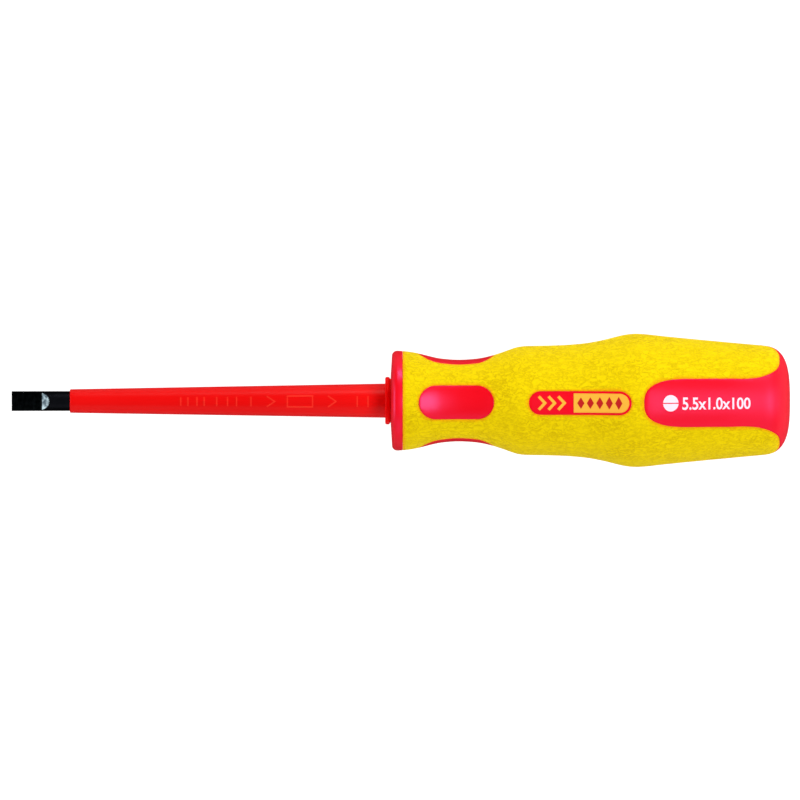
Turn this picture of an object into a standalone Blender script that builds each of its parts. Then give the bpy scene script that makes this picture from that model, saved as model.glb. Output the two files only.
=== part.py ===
"""Insulated slotted screwdriver with a fixed 5.5 x 1.0 blade and a two-component handle.

Metres. The tool lies along +X from its tip, at the origin, to the end of its handle. +Z is the front,
which carries the badge and the size mark, and the flats of the tip face +Z and -Z. An angle about the
tool's axis is 0 at +Z and grows towards +Y.
"""

import math

import bmesh
import bpy
import numpy as np
from mathutils import Vector

MM = 0.001

# Blade: a slotted tip as wide as its round shank, 5.5 x 1.0.
SHANK_R = 2.75 * MM
TIP_THICKNESS = 1.0 * MM
FLANK_END = 8.4 * MM
FLANK_HALF_THICKNESS = 1.45 * MM
RUN_OUT_END = 10.5 * MM
BLADE_LENGTH = 165.0 * MM
WING_WIDTH = 8.4 * MM
WING_THICKNESS = 3.0 * MM
WING_SPANS = ((138 * MM, 147 * MM), (151 * MM, 160 * MM))
WING_SHOULDER = 2.0 * MM

# Insulating sleeve on the shank.
SLEEVE_START = 16.2 * MM
SLEEVE_END = 122.0 * MM
SLEEVE_START_R = 3.28 * MM
SLEEVE_NECK_R = 4.74 * MM
SLEEVE_CORNER = 0.3 * MM
ANCHOR_RINGS = ((108 * MM, 110 * MM), (114 * MM, 116 * MM))
ANCHOR_RING_R = 5.3 * MM

# Hard core, whose round nose stands in front of the collar.
NOSE_START = 103.75 * MM
NOSE_END = 105.1 * MM
NOSE_R = 6.6 * MM
NOSE_CORNER = 0.35 * MM
CORE_R = 6.1 * MM
CORE_HEX_START = 118.0 * MM
CORE_HEX_FLAT_R = 6.2 * MM
CORE_GROOVES = ((130 * MM, 133 * MM), (163 * MM, 166 * MM))
CORE_GROOVE_R = 5.6 * MM
CORE_END = 171.0 * MM

# Handle: the collar, then the outer profile that shell and grip share.
COLLAR_FACE = 105.3 * MM
COLLAR_RIM = 105.65 * MM
COLLAR_RIM_R = 12.5 * MM
COLLAR_R = 13.88 * MM
COLLAR_ROUND_END = 107.2 * MM
GRIP_START = 108.6 * MM
HANDLE_PROFILE_MM = (
    (107.2, 13.88),
    (109.1, 13.77),
    (112.5, 13.27),
    (115.8, 12.43),
    (119.1, 11.70),
    (124.1, 11.33),
    (129.1, 11.61),
    (132.5, 12.26),
    (137.5, 13.83),
    (140.0, 14.77),
    (142.5, 15.15),
    (147.0, 15.21),
    (152.5, 15.36),
    (159.1, 15.86),
    (164.1, 16.74),
    (171.0, 18.36),
    (173.3, 18.56),
    (176.0, 18.40),
    (180.8, 17.86),
    (191.4, 16.82),
    (208.0, 15.30),
)
TAPER_END = 208.0 * MM
HANDLE_END = 216.2 * MM
HANDLE_TAPER = -0.088
END_POWER = 3.1

# Soft grip, laid over the shell.
GRIP_THICKNESS = 2.2 * MM
GRIP_CUT_END = 213.8 * MM
GRIP_INNER_STATIONS_MM = (113, 118, 124, 130, 136, 141, 150, 160, 168, 173.3, 180, 194, 208, 211.5)

# Windows through which the shell shows.
WAIST_WINDOW = (113.1 * MM, 133.9 * MM)
WAIST_WINDOW_HALF = 4.74 * MM
WAIST_WINDOW_ANGLES = (0, 90, 180, 270)
BADGE = (143.6 * MM, 172.0 * MM)
BADGE_HALF = 3.32 * MM
INLAY_START = 155.95 * MM
INLAY_RIM = 0.6 * MM
INLAY_THICKNESS = 0.9 * MM
REAR_WINDOW_START = 175.55 * MM
REAR_WINDOW_NOSE = 12.75 * MM
REAR_WINDOW_HALF = 6.74 * MM
REAR_WINDOW_ANGLES = (0, 120, 240)
REAR_NOSE_POWER = 2.7
PETAL_START = 200.0 * MM
PETAL_TIP = 213.3 * MM
PETAL_POWERS = (2.9, 0.68)
PETAL_CROWDING = 1.5
PETAL_OVERLAP = math.radians(0.5)

# Clearances: between sliding round pieces, and between pieces cut to each other.
ROUND_GAP = 0.06 * MM
CUT_GAP = 0.2 * MM

BLADE_SEGMENTS = 24
HANDLE_SEGMENTS = 48
ROUND_STEPS = 6
SECTOR_STEPS = 6
PROFILE_STEP = 5.1 * MM
SMOOTH_ANGLE = math.radians(30)

# How far a window's cutter reaches below and above the handle's surface, and the room it crosses.
CUTTER_REACH = (3.2 * MM, 2.0 * MM)
GRIP_SPACE_HEIGHT = 1.0 * MM


def clear_scene():
    for found in list(bpy.data.objects):
        bpy.data.objects.remove(found)


def material(name, colour, roughness, metallic=0.0):
    made = bpy.data.materials.new(name)
    made.use_nodes = True
    shader = made.node_tree.nodes["Principled BSDF"]
    shader.inputs["Base Color"].default_value = (*colour, 1)
    shader.inputs["Roughness"].default_value = roughness
    shader.inputs["Metallic"].default_value = metallic
    return made


def object_from(bm, name, finish=None):
    """A smooth-shaded object. Without a finish it is a cutter."""
    bmesh.ops.remove_doubles(bm, verts=bm.verts, dist=1e-7)
    bmesh.ops.recalc_face_normals(bm, faces=bm.faces)
    mesh = bpy.data.meshes.new(name)
    bm.to_mesh(mesh)
    bm.free()
    made = bpy.data.objects.new(name, mesh)
    bpy.context.scene.collection.objects.link(made)
    if finish:
        mesh.materials.append(finish)
        mesh.shade_smooth()
        mesh.set_sharp_from_angle(angle=SMOOTH_ANGLE)
    else:
        made.hide_render = True
        made.display_type = "WIRE"
    return made


def cut(target, cutter):
    """Takes the cutter's space out of the target."""
    boolean = target.modifiers.new(cutter.name, "BOOLEAN")
    boolean.operation = "DIFFERENCE"
    boolean.object = cutter


def turned(name, outline, finish=None, closed=False):
    """A solid of revolution about X, from (x, radius) points. A closed outline makes a ring."""
    bm = bmesh.new()
    points = [bm.verts.new((x, 0, r)) for x, r in outline]
    edges = [bm.edges.new(pair) for pair in zip(points, points[1:])]
    if closed:
        edges.append(bm.edges.new((points[-1], points[0])))
    bmesh.ops.spin(
        bm,
        geom=points + edges,
        axis=(1, 0, 0),
        cent=(0, 0, 0),
        angle=2 * math.pi,
        steps=HANDLE_SEGMENTS,
        use_merge=True,
    )
    return object_from(bm, name, finish)


def around(x, radii, turns):
    """The points of one section at x, from a radius and an angle for each."""
    return [(x, r * math.sin(turn), r * math.cos(turn)) for r, turn in zip(radii, turns)]


def skinned(name, sections, finish=None, capped=True):
    """A solid through closed sections of as many points each. Uncapped, it starts and ends at a point.

    Each quad is split the same way whichever way the sections run, so that a hollow made from a
    solid's own sections stays clear of it all over.
    """
    bm = bmesh.new()
    loops = [[bm.verts.new(point) for point in section] for section in sections]
    for here, there in zip(loops, loops[1:]):
        front, back = sorted((here, there), key=lambda loop: loop[0].co.x)
        for i in range(len(front)):
            j = (i + 1) % len(front)
            bm.faces.new((front[i], front[j], back[j]))
            bm.faces.new((front[i], back[j], back[i]))
    if capped:
        bm.faces.new(loops[0])
        bm.faces.new(loops[-1])
    return object_from(bm, name, finish)


def lofted(name, sections, finish=None):
    """An uncapped solid through sections (x, radii), with radii spread evenly about the axis."""
    turns = [2 * math.pi * i / BLADE_SEGMENTS for i in range(BLADE_SEGMENTS)]
    rings = [around(x, np.broadcast_to(radii, BLADE_SEGMENTS), turns) for x, radii in sections]
    return skinned(name, rings, finish, capped=False)


def handle_radius(x):
    """The handle's outer radius at x: a smooth curve through the profile, then the rounded end."""
    stations = np.array(HANDLE_PROFILE_MM) * MM
    places, radii = stations.T
    if x > TAPER_END:
        share = min((x - TAPER_END) / (HANDLE_END - TAPER_END), 1)
        taper = radii[-1] + HANDLE_TAPER * (x - TAPER_END)
        return taper * (1 - share**END_POWER) ** (1 / END_POWER)
    steps = np.diff(places)
    slopes = np.diff(radii) / steps
    tangents = np.zeros(len(places))
    tangents[-1] = HANDLE_TAPER
    for i in range(1, len(slopes)):
        before, after = slopes[i - 1], slopes[i]
        if before * after > 0:
            tangents[i] = 2 * before * after / (before + after)
    i = int(np.clip(np.searchsorted(places, x) - 1, 0, len(slopes) - 1))
    t = (x - places[i]) / steps[i]
    return (
        radii[i] * (1 + 2 * t) * (1 - t) ** 2
        + tangents[i] * steps[i] * t * (1 - t) ** 2
        + radii[i + 1] * t * t * (3 - 2 * t)
        + tangents[i + 1] * steps[i] * t * t * (t - 1)
    )


def blunt_arc(share, power):
    """A quarter of a blunt ellipse, from (0, 1) at share 0 to (1, 0) at share 1."""
    turn = math.pi / 2 * share
    return math.sin(turn) ** (2 / power), max(math.cos(turn), 0) ** (2 / power)


def petal_edge(share):
    """A petal's outline as (length, width), from (0, 1) at share 0 to its blunt tip at share 1.

    The shares crowd towards the tip, where the outline turns fastest.
    """
    turn = math.pi / 2 * (1 - (1 - share) ** PETAL_CROWDING)
    rise, blunt = PETAL_POWERS
    return math.sin(turn) ** (2 / rise), max(math.cos(turn), 0) ** blunt


def handle_outline(start, end):
    """The outer profile from start to end, through each of its points, and then the rounded end."""
    corners = [x * MM for x, _ in HANDLE_PROFILE_MM if x * MM > start]
    places = [start]
    for x in corners:
        steps = math.ceil((x - places[-1]) / PROFILE_STEP)
        places += list(np.linspace(places[-1], x, steps + 1))[1:]
    for i in range(1, ROUND_STEPS + 1):
        along, _ = blunt_arc(i / (ROUND_STEPS + 1), END_POWER)
        places.append(TAPER_END + (HANDLE_END - TAPER_END) * along)
    places = [x for x in places if x < end]
    if end < HANDLE_END:
        places.append(end)
    return [(x, handle_radius(x)) for x in places]


def grip_inner_outline(gap=0.0):
    """The face between grip and shell, from front to back, moved inwards by the gap."""
    places = [x * MM for x in GRIP_INNER_STATIONS_MM]
    places = [GRIP_START + CUT_GAP - gap, *places, GRIP_CUT_END]
    return [(x, handle_radius(x) - GRIP_THICKNESS - gap) for x in places]


def sector(name, stations, centre_deg, depth, height, finish=None):
    """A solid under and over the handle's surface, through (x, half angle) stations.

    It reaches depth below the surface and height above it.
    """
    shares = np.linspace(-1, 1, SECTOR_STEPS + 1)
    sections = []
    for x, half in stations:
        surface = handle_radius(x)
        turns = math.radians(centre_deg) + half * shares
        radii = [surface + height] * len(turns) + [surface - depth] * len(turns)
        sections.append(around(x, radii, [*turns, *reversed(turns)]))
    return skinned(name, sections, finish)


def angle_at(x, half_width):
    return math.asin(half_width / handle_radius(x))


def stadium(start, end, half_width):
    """Stations of a window with round ends. Each end has a short flat across its nose."""
    stations = []
    turns = [math.pi / 2 * (i + 0.5) / ROUND_STEPS for i in range(ROUND_STEPS)]
    for turn in turns:
        x = start + half_width * (1 - math.cos(turn))
        stations.append((x, angle_at(x, half_width * math.sin(turn))))
    middle = np.linspace(start + half_width, end - half_width, 4)
    stations += [(x, angle_at(x, half_width)) for x in middle]
    for turn in reversed(turns):
        x = end - half_width * (1 - math.cos(turn))
        stations.append((x, angle_at(x, half_width * math.sin(turn))))
    return stations


def rear_window(grow):
    """Stations of a rear window: a blunt nose, straight sides, and a flare round the grip's petals."""
    stations = []
    half_width = REAR_WINDOW_HALF + grow
    start = REAR_WINDOW_START - grow
    for i in range(ROUND_STEPS + 1):
        wide, back = blunt_arc((i + 0.5) / (ROUND_STEPS + 0.5), REAR_NOSE_POWER)
        x = start + REAR_WINDOW_NOSE * (1 - back)
        stations.append((x, angle_at(x, half_width * wide)))
    for x in np.linspace(stations[-1][0], PETAL_START, 5)[1:-1]:
        stations.append((x, angle_at(x, half_width)))
    petal = math.radians(60) - angle_at(PETAL_START, half_width) + PETAL_OVERLAP
    length = PETAL_TIP - grow - PETAL_START
    for i in range(ROUND_STEPS + 2):
        along, wide = petal_edge(i / (ROUND_STEPS + 1))
        stations.append((PETAL_START + length * along, math.radians(60) + PETAL_OVERLAP - petal * wide))
    stations.append((GRIP_CUT_END + 1 * MM, math.radians(60) + PETAL_OVERLAP))
    return stations


def window_cutters(prefix, grow):
    """The cutters of every window, each window larger than its name size by grow on all sides."""
    start, end = WAIST_WINDOW
    waist = stadium(start - grow, end + grow, WAIST_WINDOW_HALF + grow)
    start, end = BADGE
    badge = stadium(start - grow, end + grow, BADGE_HALF + grow)
    rear = rear_window(grow)
    windows = [("waist", waist, angle) for angle in WAIST_WINDOW_ANGLES]
    windows += [("badge", badge, 0)]
    windows += [("rear", rear, angle) for angle in REAR_WINDOW_ANGLES]
    return [
        sector(f"{prefix}_{name}_{angle}", stations, angle, *CUTTER_REACH)
        for name, stations, angle in windows
    ]


def wing_radii(grow):
    """A shank pressed flat in Z and spread in Y."""
    radii = []
    for i in range(BLADE_SEGMENTS):
        turn = 2 * math.pi * i / BLADE_SEGMENTS
        across = (WING_WIDTH / 2 + grow) / max(abs(math.sin(turn)), 1e-6)
        through = (WING_THICKNESS / 2 + grow) / max(abs(math.cos(turn)), 1e-6)
        radii.append(min(across, through))
    return np.array(radii)


def shank_sections(start, grow):
    """The shank from start to its hidden end, with its two pressed wings, larger by grow."""
    sections = [(start, SHANK_R + grow)]
    for first, last in WING_SPANS:
        sections += [
            (first, SHANK_R + grow),
            (first + WING_SHOULDER, wing_radii(grow)),
            (last - WING_SHOULDER, wing_radii(grow)),
            (last, SHANK_R + grow),
        ]
    return [*sections, (BLADE_LENGTH + grow, SHANK_R + grow), (BLADE_LENGTH + grow, 0)]


def sleeve_sections(grow):
    """The sleeve's outside from the nose of the core backwards, larger by grow."""
    sections = [(NOSE_START, SLEEVE_NECK_R + grow)]
    for first, last in ANCHOR_RINGS:
        sections += [
            (first - grow, SLEEVE_NECK_R + grow),
            (first - grow, ANCHOR_RING_R + grow),
            (last + grow, ANCHOR_RING_R + grow),
            (last + grow, SLEEVE_NECK_R + grow),
        ]
    return [*sections, (SLEEVE_END + grow, SLEEVE_NECK_R + grow)]


def hex_radii(flat_r):
    """A hexagon with its flats facing +Z and -Z."""
    sixth = math.pi / 3
    turns = [2 * math.pi * i / BLADE_SEGMENTS for i in range(BLADE_SEGMENTS)]
    return np.array([flat_r / math.cos((turn + sixth / 2) % sixth - sixth / 2) for turn in turns])


def core_sections(grow):
    """The outside of the core behind its nose: a round neck, then a hexagon with two grooves."""
    hexagon = hex_radii(CORE_HEX_FLAT_R + grow)
    sections = [
        (NOSE_END - grow, CORE_R + grow),
        (CORE_HEX_START - grow, CORE_R + grow),
        (CORE_HEX_START - grow, hexagon),
    ]
    for first, last in CORE_GROOVES:
        sections += [
            (first + grow, hexagon),
            (first + grow, CORE_GROOVE_R + grow),
            (last - grow, CORE_GROOVE_R + grow),
            (last - grow, hexagon),
        ]
    return [*sections, (CORE_END + grow, hexagon), (CORE_END + grow, 0)]


def grinding_cutter(name, side):
    """The wheel's path over one flat of the tip: a straight flank, then a concave run-out."""
    far = 2 * SHANK_R
    ahead = -1 * MM
    tip = TIP_THICKNESS / 2
    slope = (FLANK_HALF_THICKNESS - tip) / FLANK_END
    outline = [(ahead, tip + slope * ahead), (FLANK_END, FLANK_HALF_THICKNESS)]
    run, rise = RUN_OUT_END - FLANK_END, SHANK_R - FLANK_HALF_THICKNESS
    for i in range(1, ROUND_STEPS + 1):
        share = i / ROUND_STEPS
        climb = slope * run * share + (rise - slope * run) * share**2
        outline.append((FLANK_END + run * share, FLANK_HALF_THICKNESS + climb))
    outline += [(RUN_OUT_END, far), (ahead, far)]
    bm = bmesh.new()
    face = bm.faces.new([bm.verts.new((x, -far, side * z)) for x, z in outline])
    sides = bmesh.ops.extrude_face_region(bm, geom=[face])["geom"]
    moved = [item for item in sides if isinstance(item, bmesh.types.BMVert)]
    bmesh.ops.translate(bm, vec=Vector((0, 2 * far, 0)), verts=moved)
    return object_from(bm, name)


def make_blade():
    steel = material("blackened_steel", (0.012, 0.011, 0.013), 0.35, 0.9)
    sections = [(0, 0), (0, SHANK_R), *shank_sections(RUN_OUT_END + 1 * MM, 0)]
    made = lofted("blade", sections, steel)
    cut(made, grinding_cutter("front_grind", 1))
    cut(made, grinding_cutter("back_grind", -1))


def make_blade_sleeve():
    red = material("insulation_red", (0.82, 0.004, 0.004), 0.4)
    bore = SHANK_R + ROUND_GAP
    front = [
        (SLEEVE_END, bore),
        (SLEEVE_START, bore),
        (SLEEVE_START, SLEEVE_START_R - SLEEVE_CORNER),
        (SLEEVE_START + SLEEVE_CORNER, SLEEVE_START_R),
    ]
    lofted("blade_sleeve", [*front, *sleeve_sections(0), (SLEEVE_END, bore)], red)


def make_handle_core():
    red = material("core_red", (0.66, 0.003, 0.004), 0.4)
    inside = [*sleeve_sections(ROUND_GAP), *shank_sections(SLEEVE_END + ROUND_GAP, ROUND_GAP)]
    nose = [
        (NOSE_START, NOSE_R - NOSE_CORNER),
        (NOSE_START + NOSE_CORNER, NOSE_R),
        (NOSE_END, NOSE_R),
    ]
    lofted("handle_core", [*reversed(inside), *nose, *core_sections(0)], red)


def grip_space():
    """The room that the grip takes out of the shell, less the windows that the shell fills."""
    outer = [(x, r + GRIP_SPACE_HEIGHT) for x, r in handle_outline(GRIP_START, GRIP_CUT_END)]
    made = turned("grip_space", [*reversed(grip_inner_outline(CUT_GAP)), *outer], closed=True)
    for cutter in window_cutters("shell", -CUT_GAP / 2):
        cut(made, cutter)
    return made


def inlay(name, grow, height, finish=None):
    """The inlay's solid: square at its front end, round at its back end, curved like the handle."""
    half_width = BADGE_HALF - INLAY_RIM + grow
    start, end = INLAY_START - grow, BADGE[1] - INLAY_RIM + grow
    stations = [(x, half_width) for x in np.linspace(start, end - half_width, 5)]
    for i in range(1, ROUND_STEPS):
        turn = math.pi / 2 * i / (ROUND_STEPS - 0.5)
        stations.append((end - half_width * (1 - math.sin(turn)), half_width * math.cos(turn)))
    stations = [(x, angle_at(x, width)) for x, width in stations]
    return sector(name, stations, 0, INLAY_THICKNESS + grow, height, finish)


def make_handle_shell():
    red = material("handle_red", (0.92, 0.012, 0.035), 0.35)
    collar_arc = []
    for i in range(1, 4):
        turn = math.pi / 2 * i / 4
        x = COLLAR_ROUND_END - (COLLAR_ROUND_END - COLLAR_RIM) * math.cos(turn)
        collar_arc.append((x, COLLAR_RIM_R + (COLLAR_R - COLLAR_RIM_R) * math.sin(turn)))
    outline = [
        (COLLAR_FACE, 0),
        (COLLAR_FACE, NOSE_R),
        (COLLAR_RIM, COLLAR_RIM_R),
        *collar_arc,
        *handle_outline(COLLAR_ROUND_END, HANDLE_END),
        (HANDLE_END, 0),
    ]
    made = turned("handle_shell", outline, red)
    neck = COLLAR_FACE - 1 * MM
    cut(made, lofted("core_space", [(neck, 0), (neck, CORE_R + CUT_GAP), *core_sections(CUT_GAP)[1:]]))
    cut(made, grip_space())
    cut(made, inlay("inlay_space", CUT_GAP / 2, 1 * MM))


def make_soft_grip():
    yellow = material("soft_yellow", (0.91, 0.67, 0.005), 0.55)
    outer = handle_outline(GRIP_START + CUT_GAP, GRIP_CUT_END)
    made = turned("soft_grip", [*reversed(grip_inner_outline()), *outer], yellow, closed=True)
    for cutter in window_cutters("grip", CUT_GAP / 2):
        cut(made, cutter)


def make_badge_inlay():
    orange = material("badge_orange", (0.96, 0.28, 0.045), 0.4)
    inlay("badge_inlay", 0, 0, orange)


clear_scene()
make_blade()
make_blade_sleeve()
make_handle_core()
make_handle_shell()
make_soft_grip()
make_badge_inlay()
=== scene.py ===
"""Looks of the insulated screwdriver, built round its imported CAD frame.

Metres. The tool lies along +X from its tip to the end of its handle, and +Z is its front. An angle about
the tool's axis is 0 at +Z and grows towards +Y. Every moulding is one closed mesh. The handle's two
mouldings are meshed on its unrolled surface, so that their edges follow the windows exactly. A size's
name ends in R for a radius, and a pair of places is a start and an end along the tool.
"""

import math
from collections import Counter

import bmesh
import bpy
import numpy as np
from mathutils import Matrix, Vector, geometry, kdtree


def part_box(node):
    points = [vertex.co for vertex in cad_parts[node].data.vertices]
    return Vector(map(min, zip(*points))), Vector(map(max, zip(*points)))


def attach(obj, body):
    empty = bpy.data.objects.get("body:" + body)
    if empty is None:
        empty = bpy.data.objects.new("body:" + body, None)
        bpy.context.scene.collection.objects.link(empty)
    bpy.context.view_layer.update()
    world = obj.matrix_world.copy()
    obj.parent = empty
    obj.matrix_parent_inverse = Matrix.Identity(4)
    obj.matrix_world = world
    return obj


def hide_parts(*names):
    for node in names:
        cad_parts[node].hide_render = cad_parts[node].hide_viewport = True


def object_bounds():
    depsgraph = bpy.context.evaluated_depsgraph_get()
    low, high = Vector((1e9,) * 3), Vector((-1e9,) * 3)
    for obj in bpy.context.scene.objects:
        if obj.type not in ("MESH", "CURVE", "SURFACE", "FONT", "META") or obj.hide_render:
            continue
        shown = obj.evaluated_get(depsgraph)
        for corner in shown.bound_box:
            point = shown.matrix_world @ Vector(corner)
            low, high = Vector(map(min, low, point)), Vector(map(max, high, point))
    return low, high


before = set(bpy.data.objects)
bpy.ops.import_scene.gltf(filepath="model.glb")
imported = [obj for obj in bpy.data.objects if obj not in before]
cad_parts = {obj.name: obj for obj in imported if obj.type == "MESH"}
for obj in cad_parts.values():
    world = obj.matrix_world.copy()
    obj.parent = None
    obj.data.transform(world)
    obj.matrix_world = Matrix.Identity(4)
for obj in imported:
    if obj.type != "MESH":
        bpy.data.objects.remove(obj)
CAD_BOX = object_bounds()

MM = 0.001
TURN = 2 * math.pi

# ---- Places read from the frame ---------------------------------------------------------------------

BLADE_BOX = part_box("blade")
SLEEVE_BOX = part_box("blade_sleeve")
CORE_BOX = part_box("handle_core")
SHELL_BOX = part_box("handle_shell")
INLAY_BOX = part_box("badge_inlay")

SHANK_R = BLADE_BOX[1].z
BLADE_LENGTH = BLADE_BOX[1].x
SLEEVE_START = SLEEVE_BOX[0].x
SLEEVE_END = SLEEVE_BOX[1].x
ANCHOR_RING_R = SLEEVE_BOX[1].z
NOSE_START = CORE_BOX[0].x
NOSE_R = CORE_BOX[1].z
CORE_END = CORE_BOX[1].x
COLLAR_FACE = SHELL_BOX[0].x
HANDLE_END = SHELL_BOX[1].x
INLAY_START = INLAY_BOX[0].x

# ---- Sizes shared with the CAD part -----------------------------------------------------------------

TIP_THICKNESS = 1.0 * MM
FLANK_END = 8.4 * MM
FLANK_HALF_THICKNESS = 1.45 * MM
RUN_OUT_END = 10.5 * MM
RUN_OUT_SLOPE = 0.8
WING_WIDTH = 8.4 * MM
WING_THICKNESS = 3.0 * MM
WING_SPANS = ((138 * MM, 147 * MM), (151 * MM, 160 * MM))
WING_SHOULDER = 2.0 * MM

SLEEVE_START_R = 3.28 * MM
SLEEVE_NECK_R = 4.74 * MM
ANCHOR_RINGS = ((108 * MM, 110 * MM), (114 * MM, 116 * MM))

NOSE_END = 105.1 * MM
CORE_R = 6.1 * MM
CORE_HEX_START = 118.0 * MM
CORE_HEX_FLAT_R = 6.2 * MM
CORE_GROOVES = ((130 * MM, 133 * MM), (163 * MM, 166 * MM))
CORE_GROOVE_R = 5.6 * MM

COLLAR_RIM = 105.65 * MM
COLLAR_RIM_R = 12.5 * MM
COLLAR_R = 13.88 * MM
COLLAR_ROUND_END = 107.2 * MM
GRIP_START = 108.6 * MM
HANDLE_PROFILE_MM = (
    (107.2, 13.88),
    (109.1, 13.77),
    (112.5, 13.27),
    (115.8, 12.43),
    (119.1, 11.70),
    (124.1, 11.33),
    (129.1, 11.61),
    (132.5, 12.26),
    (137.5, 13.83),
    (140.0, 14.77),
    (142.5, 15.15),
    (147.0, 15.21),
    (152.5, 15.36),
    (159.1, 15.86),
    (164.1, 16.74),
    (171.0, 18.36),
    (173.3, 18.56),
    (176.0, 18.40),
    (180.8, 17.86),
    (191.4, 16.82),
    (208.0, 15.30),
)
TAPER_END = 208.0 * MM
HANDLE_TAPER = -0.088
END_POWER = 3.1
GRIP_THICKNESS = 2.2 * MM

WAIST_WINDOW = (113.1 * MM, 133.9 * MM, 4.74 * MM)
WAIST_WINDOW_ANGLES = np.radians((0, 90, 180, 270))
BADGE_WINDOW = (143.6 * MM, 172.0 * MM, 3.32 * MM)
INLAY_RIM = 0.6 * MM
INLAY_THICKNESS = 0.9 * MM
REAR_WINDOW_START = 175.55 * MM
REAR_WINDOW_NOSE = 12.75 * MM
REAR_WINDOW_HALF = 6.74 * MM
REAR_WINDOW_ANGLES = np.radians((0, 120, 240))
REAR_NOSE_POWER = 2.7
PETAL_START = 200.0 * MM
PETAL_TIP = 213.3 * MM
PETAL_POWERS = (2.9, 0.34)
SIXTH = math.pi / 3

# ---- Fine sizes that only the looks have ------------------------------------------------------------

SEAM_GAP = 0.03 * MM
GRIP_LIP = 0.20 * MM
SHELL_LIP = 0.12 * MM
UNDER_GRIP = 0.05 * MM
COLUMNS = 120
ROW_STEP = 0.9 * MM
LOOP_STEP = 0.35 * MM
LOOP_CLEARANCE = 0.42 * MM
MESHED_END = 214.0 * MM
ROUND_GAP = 0.06 * MM
NOSE_EDGE = 0.5 * MM
SLEEVE_EDGE = 0.25 * MM
SEGMENTS = 96
LIP_STEPS = 4
EDGE_STEPS = 5
COLLAR_STEPS = 12
CAP_STEPS = 22
FLANK_STEPS = 12
RUN_OUT_STEPS = 22
FLAT_POINTS = 15
ARC_POINTS = 25
GROUND_DEPTH = 0.02 * MM
SHANK_LEAD = 0.4 * MM
PRINT_HEIGHTS = (-0.05 * MM, 0.02 * MM)
# How far from the seams the grip's painted seam shade reaches.
SEAM_SHADE_WIDTH = 0.25 * MM
WORN_SPAN = (198 * MM, 209 * MM)
WORN_ROUGHNESS = 0.13
SEAM_ANGLE = SIXTH
UNROLL_R = 14 * MM

# ---- Print and relief: places along the tool, then sizes --------------------------------------------

SIZE_MARK = "5.5x1.0x100"
SIZE_MARK_FOOT = Vector((186.1 * MM, -1.78 * MM, 0))
SIZE_MARK_HEIGHT = 3.35 * MM
SIZE_MARK_WIDTH = 18.9 * MM
LETTER_WEIGHT = 0.018
SLOT_DISC = 182.9 * MM
SLOT_DISC_R = 2.12 * MM
SLOT_WIDTH = 0.3 * MM
SIZE_MARK_MIDDLE = 195 * MM
PRINT_STEP = 0.5 * MM

BADGE_MIDDLE = 158 * MM
BADGE_CHEVRONS = (147.2 * MM, 149.9 * MM, 152.6 * MM)
BADGE_CHEVRON_REACH = 1.7 * MM
BADGE_CHEVRON_HALF = 1.9 * MM
BADGE_CHEVRON_WIDTH = 0.8 * MM
BADGE_CHEVRON_HEIGHTS = (-0.1 * MM, 0.04 * MM)
LOZENGES = [(158.0 + 2.62 * i) * MM for i in range(5)]
LOZENGE_HALVES = (1.0 * MM, 1.6 * MM)

SLEEVE_MIDDLE = 75 * MM
SLEEVE_CHEVRONS = (72 * MM, 89 * MM)
SLEEVE_CHEVRON_REACH = 2.2 * MM
SLEEVE_FRAME = (76.6 * MM, 83.6 * MM)
SLEEVE_MARK_HALF = 1.5 * MM
SLEEVE_BARS_MM = (47, 49, 51.5, 53.5, 57, 60, 62.5, 66.5, 96, 99)
SLEEVE_BAR_HALF = 1.4 * MM
SLEEVE_LINE_WIDTH = 0.35 * MM
SLEEVE_MARK_HEIGHTS = (-0.2 * MM, 0.1 * MM)

# ---- Stage ------------------------------------------------------------------------------------------

STAGE_CENTRE = Vector((CAD_BOX[0].x + CAD_BOX[1].x, 0, 0)) / 2
CAMERA_DISTANCE = 6.0
CAMERA_REACH = 100
VIEW_WIDTH = 222.24 * MM
VIEW_CENTRE = Vector((107.88 * MM, 0.18 * MM, 0))
VIEW_TILT = math.radians(2.7)
VIEW_ROLL = math.radians(0.066)
FLOOR_HALF = 2.5
FLOOR_GAP = 0.05 * MM
FLOOR_GLOW = 0.98
BACKDROP_RADIUS = 20.0
HORIZON = 0.03
OVERHEAD = 0.001
HORIZON_SPAN = (0.2, 0.9)

# Each area light: its name, its azimuth and its angle off the vertical in degrees, its distance,
# length, width and power, and how far along the tool from the stage's centre it aims.
SOFTBOXES = (
    ("key_strip", 90, 67, 0.7, 0.36, 0.07, 2.2, 0.165),
    ("lower_box", -90, 58, 1.1, 1.4, 0.8, 2.8, 0.0),
    ("handle_box", 0, 30, 1.0, 0.7, 0.3, 7.2, 0.05),
    ("tip_box", 180, 62, 1.0, 0.9, 0.45, 6.0, -0.05),
    ("end_box", 0, 70, 0.8, 0.45, 0.34, 1.1, 0.05),
)


# ---- The handle's outer profile ---------------------------------------------------------------------


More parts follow.
